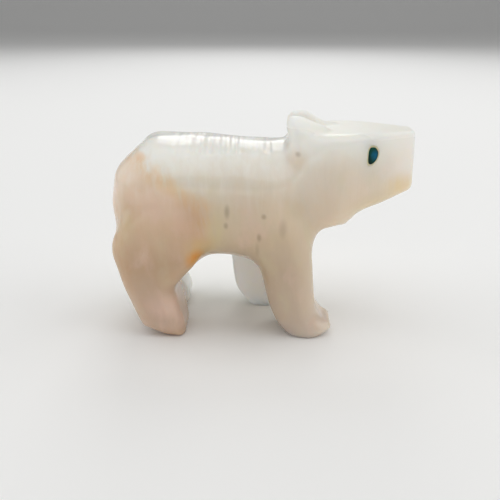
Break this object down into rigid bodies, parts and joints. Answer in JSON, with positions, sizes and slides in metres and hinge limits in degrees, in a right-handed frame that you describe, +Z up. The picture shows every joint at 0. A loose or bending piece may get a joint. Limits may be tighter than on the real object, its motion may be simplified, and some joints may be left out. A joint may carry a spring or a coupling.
{
  "type": "carved stone bear figurine",
  "caption": "Small standing bear carved from one piece of translucent calcite, with a flat-topped wedge head, low ears, short legs on flat soles and inlaid stone eyes.",
  "frame": {"origin": "centre of the bounding box at the level of the soles, on the surface the bear stands on", "axes": "+X towards the muzzle, +Y to the bear's left side, +Z up"},
  "size_m": [0.0562, 0.025, 0.0413],
  "materials": {
    "calcite": "hand-polished translucent calcite, white with a beige-pink haunch and an orange vein",
    "turquoise": "polished dark blue-green stone, flush with the head"
  },
  "bodies": {
    "root": {"bear_body": "calcite", "eye_right": "turquoise", "eye_left": "turquoise"}
  },
  "joints": []
}
